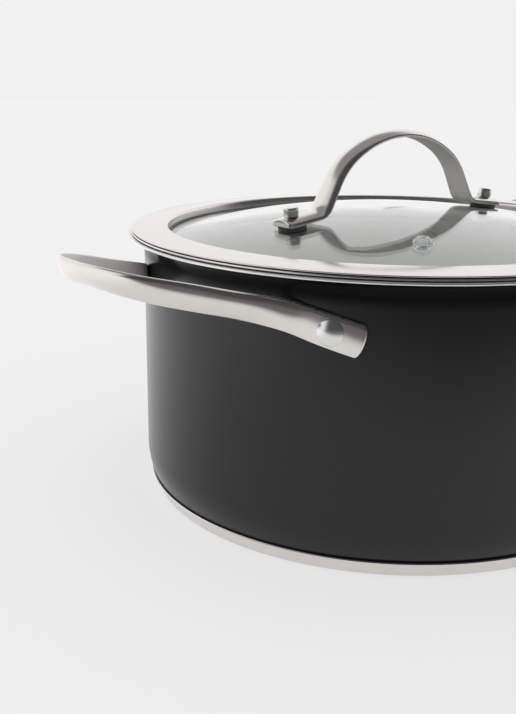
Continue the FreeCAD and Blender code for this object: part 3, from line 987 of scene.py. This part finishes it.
def join_halves(obj: Piece, axis: str) -> None:
    """Flatten a half piece's open end onto the middle plane and mirror it to a whole one.

    Args:
        obj: the half piece, whose open end lies near the plane where the axis is zero.
        axis: "X" or "Y", the axis that is mirrored.
    """
    index = "XYZ".index(axis)
    make_active(obj)
    bpy.ops.object.mode_set(mode="EDIT")
    nearest = min(abs(vertex.co[index]) for vertex in obj.data.vertices)
    pick(obj, lambda co: abs(co[index]) < nearest + SEAM_SLACK)
    flat = [1.0, 1.0, 1.0]
    flat[index] = 0.0
    bpy.ops.transform.resize(value=flat, center_override=(0.0, 0.0, 0.0))
    bpy.ops.object.mode_set(mode="OBJECT")
    mirror = obj.modifiers.new("other_half", "MIRROR")
    mirror.use_axis = (axis == "X", axis == "Y", False)
    mirror.merge_threshold = SEAM_SLACK / 10
    apply_modifiers(obj)
    bpy.ops.object.mode_set(mode="EDIT")
    tidy_mesh(obj)


# ---------------------------------------------------------------- side handles


@dataclass
class SideHandles:
    """The two bowed strip handles riveted to the pot's wall."""

    steel: bpy.types.Material
    tab: Section = Section(13.2 * MM, 2.4 * MM, 0.5 * MM)
    bow: Section = Section(10.7 * MM, 1.65 * MM, 1.4 * MM)
    edge_round: float = 0.65 * MM
    corner_round: float = 1.3 * MM
    end_bow: float = 14.4 * MM
    wall_radius: float = 120.2 * MM
    tab_angle: float = 37.2
    leave_angle: float = 25.6
    leave_pull: float = 25.6 * MM
    bow_pull: float = 55.3 * MM
    bow_reach: float = 171.8 * MM
    rise: float = 0.27
    level_share: float = 0.59
    lean: float = 30.2
    lean_growth: float = 1.3
    shaping_share: float = 0.45
    stations: int = 36
    knots: int = 12
    corner_degrees: tuple[int, ...] = (20, 32, 42, 52, 62, 72, 81, 90)
    line: list[Vector] = field(default_factory=list)
    travels: list[float] = field(default_factory=list)
    shares: list[float] = field(default_factory=list)

    def arm(self, share: float) -> Vector:
        """Return a plan point of the arm, from where it leaves the wall to mid-bow."""
        leave = math.radians(self.leave_angle)
        gate = Vector((-math.cos(leave), -math.sin(leave), 0)) * self.wall_radius
        along = Vector((-math.sin(leave), math.cos(leave), 0))
        pulls = (gate, gate + along * self.leave_pull,
                 Vector((-self.bow_reach, -self.bow_pull, 0)), Vector((-self.bow_reach, 0, 0)))
        rest = 1 - share
        weights = (rest ** 3, 3 * rest ** 2 * share, 3 * rest * share ** 2, share ** 3)
        return sum((pull * weight for pull, weight in zip(pulls, weights)), Vector())

    def wrap(self, angle: float) -> Vector:
        """Return a plan point where the tab lies on the wall, by its angle in radians."""
        return Vector((-math.cos(angle), -math.sin(angle), 0)) * self.wall_radius

    def survey(self, steps: int = 600) -> None:
        """Measure the line from the tab's end to mid-bow as points and lengths."""
        start, leave = math.radians(self.tab_angle), math.radians(self.leave_angle)
        plan = [self.wrap(start + (leave - start) * n / steps) for n in range(steps)]
        plan += [self.arm(n / steps) for n in range(steps + 1)]
        lengths = running_lengths(plan)
        whole = lengths[-1]
        rivet = self.wall_radius * (start - math.radians(RIVET_ANGLE))
        level = whole * self.level_share

        def climbed(length: float) -> float:
            """Return the height gained after a length."""
            over = max(length - level, 0.0)
            return self.rise * (length - over * over / (2 * (whole - level)))

        self.line = [Vector((point.x, point.y, RIVET_HEIGHT + climbed(length) - climbed(rivet)))
                     for point, length in zip(plan, lengths)]
        self.travels = running_lengths(self.line)
        self.shares = [max(length - rivet, 0.0) / (whole - rivet) for length in lengths]

    def at(self, travel: float) -> tuple[Vector, Vector, float]:
        """Return the place, heading and share from rivet to mid-bow at a travel."""
        line, travels, shares = self.line, self.travels, self.shares
        index = next((number for number, passed in enumerate(travels)
                      if passed >= travel - TRAVEL_SLACK), len(travels) - 1)
        index = max(index, 1)
        step = travels[index] - travels[index - 1]
        part = (travel - travels[index - 1]) / step
        place = line[index - 1].lerp(line[index], part)
        heading = (line[index] - line[index - 1]).normalized()
        if travel >= travels[-1] - TRAVEL_SLACK:
            heading = Vector((0, 1, 0))
        return place, heading, shares[index - 1] + (shares[index] - shares[index - 1]) * part

    def guide(self) -> Piece:
        """Make the guide curve of half a handle, with the outward lean as its tilt."""
        whole = self.travels[-1]
        pace = whole / self.knots
        knots = []
        for number in range(self.knots + 1):
            place, heading, share = self.at(pace * number)
            tilt = -math.radians(self.lean) * share ** self.lean_growth
            knots.append((place - heading * pace / 3, place, place + heading * pace / 3, tilt))
        return guide_curve("handle_guide", knots)

    def blank(self) -> Piece:
        """Draw out half a handle as a flat strip and return it."""
        whole = self.travels[-1]
        strip = StripBlank("side_handle_left_steel", self.tab.narrowed(2 * self.corner_round),
                           self.edge_round)
        stations = []
        for angle in map(math.radians, self.corner_degrees):
            stations.append((self.corner_round * (1 - math.cos(angle)),
                             self.tab.narrowed(2 * self.corner_round * (1 - math.sin(angle)))))
        for number in range(1, self.stations + 1):
            distance = (self.corner_round
                        + (whole - self.corner_round) * number / self.stations)
            share = self.at(distance)[2] / self.shaping_share
            stations.append((distance, self.tab.toward(self.bow, eased(share))))
        obj = strip.make(stations, 0.0, whole)
        strip.belly_end(obj, self.end_bow, self.tab.width / 2)
        return obj

    def build(self) -> None:
        """Bend half a handle, mirror it to a whole one, and copy that to the right side."""
        self.survey()
        left = self.blank()
        bend(left, self.guide())
        join_halves(left, "Y")
        right = mirrored_piece(left, "side_handle_right_steel", "X")
        for obj, node in ((left, "side_handle_left"), (right, "side_handle_right")):
            smooth(obj, SHARP)
            dress(obj, self.steel, Slot.HANDLE_STEEL, Body.POT, node)


# ---------------------------------------------------------------- lid


@dataclass(frozen=True)
class Dome:
    """The glass's upper face, the pads' height on it, and where the handle's studs pass it."""

    radius: float = 480.0 * MM
    height: float = 134.8 * MM
    stud_reach: float = 64.0 * MM
    pad_height: float = 1.3 * MM

    def square_to(self, reach: float, bearing: float) -> Matrix:
        """Return the place at the dome's centre whose Z meets the glass squarely.

        Args:
            reach: how far from the pot's axis Z meets the glass.
            bearing: the direction from the axis in degrees.

        Returns:
            The place, whose Z is the glass's own normal there.
        """
        return (Matrix.Translation((0.0, 0.0, self.height - self.radius))
                @ Matrix.Rotation(math.radians(bearing), 4, "Z")
                @ Matrix.Rotation(math.asin(reach / self.radius), 4, "Y"))


GLASS = Dome()


@dataclass
class LidHandle:
    """The arched strip that lifts the lid, on two feet square to the glass."""

    steel: bpy.types.Material
    arch: Section = Section(12.4 * MM, 1.35 * MM, 2.25 * MM)
    foot: Section = Section(13.6 * MM, 1.9 * MM, 1.85 * MM)
    half_edge: float = 1.15 * MM
    edge_round: float = 0.55 * MM
    corner_round: float = 2.2 * MM
    arch_height: float = 169.1 * MM
    arch_reach: float = 15.5 * MM
    arch_round: float = 54.0 * MM
    shoulder_reach: float = 37.0 * MM
    shoulder_height: float = 156.4 * MM
    shoulder_round: float = 32.0 * MM
    ankle_reach: float = 48.35 * MM
    ankle_round: float = 7.3 * MM
    foot_reach: float = 70.7 * MM
    widen_from: float = 0.5
    widen_over: float = 1 / 2.2
    stations: int = 64
    corner_degrees: tuple[int, ...] = (15, 28, 40, 50, 60, 68, 76, 83, 90)

    def foot_level(self, reach: float) -> float:
        """Return the height of the strip's middle line over a foot, at a reach."""
        tilt = math.asin(GLASS.stud_reach / GLASS.radius)
        level = GLASS.radius + GLASS.pad_height + self.half_edge
        return (GLASS.height - GLASS.radius
                + (level - reach * math.sin(tilt)) / math.cos(tilt))

    def guide(self) -> Piece:
        """Make the guide curve from the crown of the arch to the right foot's end."""
        corners = [
            Corner(0.0, self.arch_height),
            Corner(self.arch_reach, self.arch_height, self.arch_round),
            Corner(self.shoulder_reach, self.shoulder_height, self.shoulder_round),
            Corner(self.ankle_reach, self.foot_level(self.ankle_reach), self.ankle_round),
            Corner(self.foot_reach, self.foot_level(self.foot_reach)),
        ]
        return guide_curve("arch_guide", rounded_knots(corners, UPRIGHT))

    def build(self) -> None:
        """Draw out half the strip, bend it over the arch and mirror it."""
        guide = self.guide()
        length = guide.data.splines[0].calc_length()
        stations = []
        straight = length - self.corner_round
        for number in range(1, self.stations + 1):
            distance = straight * number / self.stations
            share = (distance / length - self.widen_from) / self.widen_over
            stations.append((distance, self.arch.toward(self.foot, eased(share))))
        for angle in map(math.radians, self.corner_degrees):
            stations.append((straight + self.corner_round * math.sin(angle),
                             self.foot.narrowed(2 * self.corner_round * (1 - math.cos(angle)))))
        strip = StripBlank("lid_handle_steel", self.arch, self.edge_round)
        obj = strip.make(stations, length, 0.0)
        set_place(obj, Matrix.Rotation(math.pi / 2, 4, "X")
                  @ Matrix.Translation((0.0, -self.half_edge, 0.0)))
        bend(obj, guide)
        join_halves(obj, "X")
        set_place(obj, Matrix.Rotation(math.radians(LID_TURN), 4, "Z"))
        smooth(obj, SHARP)
        dress(obj, self.steel, Slot.HANDLE_STEEL, Body.LID, "lid_handle")


@dataclass
class Rivets:
    """Four rivets: a flat head inside the pot and a domed head on the tab."""

    steel: bpy.types.Material
    inner_top: float = 118.903 * MM
    foot: float = 4.8 * MM
    foot_depth: float = 1.3 * MM
    shank: float = 2.5 * MM
    tab_top: float = 123.1 * MM
    head: float = 5.3 * MM
    head_edge: float = 0.5 * MM
    dome: float = 2.2 * MM
    edge_round: float = 0.3 * MM
    dome_steps: int = 7
    steps: int = 48

    def outline(self) -> list[Corner]:
        """Return half the rivet's section, from its foot's centre to its dome's."""
        low = self.inner_top - self.foot_depth
        shoulder = self.tab_top + self.head_edge
        rise = self.dome - self.head_edge
        bow = (self.head ** 2 + rise ** 2) / (2 * rise)
        reach = math.asin(self.head / bow)
        corners = [
            Corner(0.0, low), Corner(self.foot, low, self.foot_depth / 2),
            Corner(self.foot, self.inner_top), Corner(self.shank, self.inner_top),
            Corner(self.shank, self.tab_top), Corner(self.head, self.tab_top, self.edge_round / 3),
            Corner(self.head, shoulder, self.edge_round),
        ]
        for step in range(1, self.dome_steps):
            angle = reach * (1 - step / self.dome_steps)
            corners.append(Corner(bow * math.sin(angle),
                                  self.tab_top + self.dome - bow * (1 - math.cos(angle))))
        return corners + [Corner(0.0, self.tab_top + self.dome)]

    def build(self) -> None:
        """Turn one rivet and set a copy of it at each tab."""
        first = turned("rivet_blank", self.outline(), self.steps, closed=False)
        sides = {"left_front": 180 + RIVET_ANGLE, "left_rear": 180 - RIVET_ANGLE,
                 "right_front": -RIVET_ANGLE, "right_rear": RIVET_ANGLE}
        places = {f"rivet_{side}": Matrix.Translation((0.0, 0.0, RIVET_HEIGHT))
                  @ Matrix.Rotation(math.radians(bearing), 4, "Z")
                  @ Matrix.Rotation(math.pi / 2, 4, "Y") for side, bearing in sides.items()}
        set_copies(first, "_head", places, self.steel, Body.POT)


@dataclass
class RimBand:
    """The wide polished band of the lid, turned down over the glass at its inner edge."""

    steel: bpy.types.Material
    bezel_radius: float = 108.5 * MM
    bezel_foot: float = 122.9 * MM
    bezel_height: float = 127.3 * MM
    bezel_round: float = 1.5 * MM
    gauge: float = 0.6 * MM
    radius: float = 125.6 * MM
    height: float = 126.3 * MM
    edge_round: float = 0.26 * MM
    foot_round: float = 0.2 * MM
    steps: int = 256

    def build(self) -> None:
        """Turn the band."""
        inner = self.bezel_radius + self.gauge
        corners = [
            Corner(self.bezel_radius, self.bezel_foot, self.foot_round, 3),
            Corner(inner, self.bezel_foot, self.foot_round, 3),
            Corner(inner, self.bezel_height - self.gauge, self.bezel_round - self.gauge),
            Corner(self.radius, self.height - self.gauge, self.edge_round, 4),
            Corner(self.radius, self.height, self.edge_round, 4),
            Corner(self.bezel_radius, self.bezel_height, self.bezel_round, 8),
        ]
        band = turned("rim_band", corners, self.steps)
        smooth(band, SHARP)
        dress(band, self.steel, Slot.RIM_STEEL, Body.LID, "lid_rim")


@dataclass
class CapNuts:
    """The two plain cap nuts that hold the lid handle's feet."""

    steel: bpy.types.Material
    foot: float = 485.1 * MM
    radius: float = 3.35 * MM
    height: float = 4.1 * MM
    bore: float = 1.55 * MM
    cap: float = 1.0 * MM
    top_round: float = 0.55 * MM
    foot_round: float = 0.12 * MM
    steps: int = 48

    def build(self) -> None:
        """Turn a nut for each foot and set it on the strip, square to the glass."""
        top = self.foot + self.height
        corners = [
            Corner(0.0, top - self.cap), Corner(self.bore, top - self.cap),
            Corner(self.bore, self.foot), Corner(self.radius, self.foot, self.foot_round, 2),
            Corner(self.radius, top, self.top_round), Corner(0.0, top),
        ]
        first = turned("nut_blank", corners, self.steps, closed=False)
        places = {f"cap_nut_{side}": GLASS.square_to(GLASS.stud_reach, bearing)
                  for side, bearing in (("left", 180 + LID_TURN), ("right", LID_TURN))}
        set_copies(first, "_turned", places, self.steel, Body.LID)


@dataclass
class SteamVent:
    """The clear grommet with a steam bore, seated in the glass."""

    silicone: bpy.types.Material
    reach: float = 71.5 * MM
    bearing: float = -129.0
    glass: float = 4.0 * MM
    bore: float = 1.6 * MM
    neck: float = 2.95 * MM
    head: float = 4.2 * MM
    edge: float = 0.8 * MM
    dome: float = 2.6 * MM
    mouth: float = 2.5 * MM
    flange: float = 3.9 * MM
    flange_height: float = 1.4 * MM
    bore_round: float = 0.25 * MM
    flange_round: float = 0.5 * MM
    seat_round: float = 0.2 * MM
    head_round: float = 0.15 * MM
    edge_round: float = 0.3 * MM
    mouth_round: float = 1.2 * MM
    mouth_steps: int = 8
    steps: int = 64

    def build(self) -> None:
        """Turn the grommet and set it square to the glass."""
        under = GLASS.radius - self.glass
        under -= self.flange ** 2 / (2 * under)
        top = GLASS.radius + self.dome
        corners = [
            Corner(self.bore, under - self.flange_height, self.bore_round),
            Corner(self.flange, under - self.flange_height, self.flange_round),
            Corner(self.flange, under, self.seat_round),
            Corner(self.neck, under),
            Corner(self.neck, GLASS.radius),
            Corner(self.head, GLASS.radius, self.head_round),
            Corner(self.head, GLASS.radius + self.edge, self.edge_round),
            Corner(self.mouth, top, self.mouth_round, self.mouth_steps),
            Corner(self.bore, top, self.bore_round),
        ]
        vent = turned("steam_vent_grommet", corners, self.steps)
        set_place(vent, GLASS.square_to(self.reach, self.bearing))
        smooth(vent, SHARP)
        dress(vent, self.silicone, Slot.CLEAR_SILICONE, Body.LID, "steam_vent")


# ---------------------------------------------------------------- studio


@dataclass
class Studio:
    """Pale floor, soft light from behind and above, and the camera."""

    camera_place: tuple[float, float, float] = (-0.36638, -0.32247, 0.1982)
    heading: float = 49.02
    pitch: float = 16.02
    roll: float = 0.52
    lens: float = 50.71
    sensor: float = 36.0
    nearest: float = 10.0 * MM
    floor_radius: float = 6.0
    floor_corners: int = 96
    sky: float = 1.0
    backdrop: float = 0.873
    bright_side: float = 1.05
    dark_side: float = 0.06
    light_heading: float = 75.0
    light_edge: tuple[float, float] = (-0.38, -0.05)
    overhead: float = 0.25
    overhead_edge: tuple[float, float] = (0.56, 0.78)

    def set_camera(self) -> None:
        """Place the camera and make it the scene's."""
        data = bpy.data.cameras.new("camera")
        data.lens = self.lens
        data.sensor_width = self.sensor
        data.clip_start = self.nearest
        camera = bpy.data.objects.new("camera", data)
        bpy.context.scene.collection.objects.link(camera)
        upright = Euler((math.radians(90.0 - self.pitch), 0.0,
                         math.radians(self.heading - 90.0))).to_matrix()
        rolled = upright @ Matrix.Rotation(math.radians(self.roll), 3, "Z")
        camera.matrix_world = Matrix.Translation(self.camera_place) @ rolled.to_4x4()
        bpy.context.scene.camera = camera

    def lay_floor(self) -> None:
        """Lay the floor just under the pot."""
        deselect_all()
        bpy.ops.mesh.primitive_circle_add(
            vertices=self.floor_corners, radius=self.floor_radius, fill_type="NGON",
            location=(0.0, 0.0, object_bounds()[0][2]))
        floor = bpy.context.object
        floor.name = "studio_floor"
        floor.data.materials.append(StudioPaper("studio_paper").make())
        floor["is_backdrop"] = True

    def light_world(self) -> None:
        """Light the scene evenly, with a bright side for gloss to mirror and a dark one."""
        world = bpy.data.worlds.new("studio")
        bpy.context.scene.world = world
        bench = NodeBench(world, "ShaderNodeOutputWorld")
        height, _, bearing = bench.level(bench.add("TexCoord").outputs["Generated"])
        side = bench.ramp(bench.dot(bearing, way_to(self.light_heading)), *self.light_edge,
                          smooth=True)
        fading = bench.ramp(height, *self.overhead_edge, 1.0, self.overhead, smooth=True)
        mirrored = bench.ramp(bench.maths("MULTIPLY", side, fading), 0.0, 1.0, self.dark_side,
                              self.bright_side)
        seen = bench.mix(bench.light_path("Is Glossy Ray"), self.sky, mirrored)
        plain = bench.mix(bench.light_path("Is Camera Ray"), seen, self.backdrop)
        bench.finish(bench.add("Background", Color=(1.0, 1.0, 1.0, 1.0), Strength=plain))

    def build(self) -> None:
        """Set up the camera, floor and light."""
        self.set_camera()
        self.lay_floor()
        self.light_world()
        bpy.context.scene.view_settings.view_transform = "Standard"


# ---------------------------------------------------------------- the whole


def finish_frame() -> None:
    """Give every CAD node that keeps its shape its finish."""
    lip_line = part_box("pot_shell")[1].z - LIP_DEPTH
    pads = [f"{level}_pad_{side}" for level in ("upper", "lower") for side in ("left", "right")]
    fixings = [f"{kind}_{side}" for kind in ("lid_washer", "handle_screw")
               for side in ("left", "right")]
    for finish, names in (
            (PotCoat("charcoal_coat", lip_line=lip_line), ["pot_shell"]),
            (BrushedSteel("base_steel", Grain.AROUND, roughness=0.24), ["base_cap"]),
            (BrushedSteel("core_aluminium", Grain.AROUND, colour=(0.60, 0.61, 0.62)),
             ["base_core"]),
            (BrushedSteel("ring_steel", Grain.AROUND, roughness=0.22), ["lid_ring"]),
            (Silicone("gasket_silicone", colour=(0.11, 0.11, 0.108)), ["rim_gasket"]),
            (Silicone("black_silicone"), pads),
            (PolishedSteel("polished_steel"), fixings),
            (ClearPiece("lid_glass", tint=(0.95, 0.98, 0.955), index=1.5, roughness=0.0,
                        smear=0.02, shadow=(0.97, 0.985, 0.975)), ["lid_glass"])):
        finish_nodes(finish.make(), names)


def main() -> None:
    """Build the studio and the saucepan's looks around the frame."""
    logging.basicConfig(level=logging.INFO, format="%(name)s %(message)s")
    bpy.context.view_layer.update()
    Studio().build()
    finish_frame()
    handle_steel = BrushedSteel("handle_steel", Grain.ALONG, inner_roughness=0.5).make()
    bright_steel = PolishedSteel("bright_steel", roughness=0.24, wear=0.04).make()
    SideHandles(handle_steel).build()
    Rivets(bright_steel).build()
    RimBand(BrushedSteel("rim_steel", Grain.AROUND, roughness=0.22).make()).build()
    LidHandle(handle_steel).build()
    CapNuts(bright_steel).build()
    SteamVent(ClearPiece("clear_silicone", tint=(0.97, 0.98, 0.97), index=1.41, roughness=0.18,
                         smear=0.1, shadow=(0.85, 0.87, 0.86), clarity=0.75).make()).build()


if __name__ == "__main__":
    main()
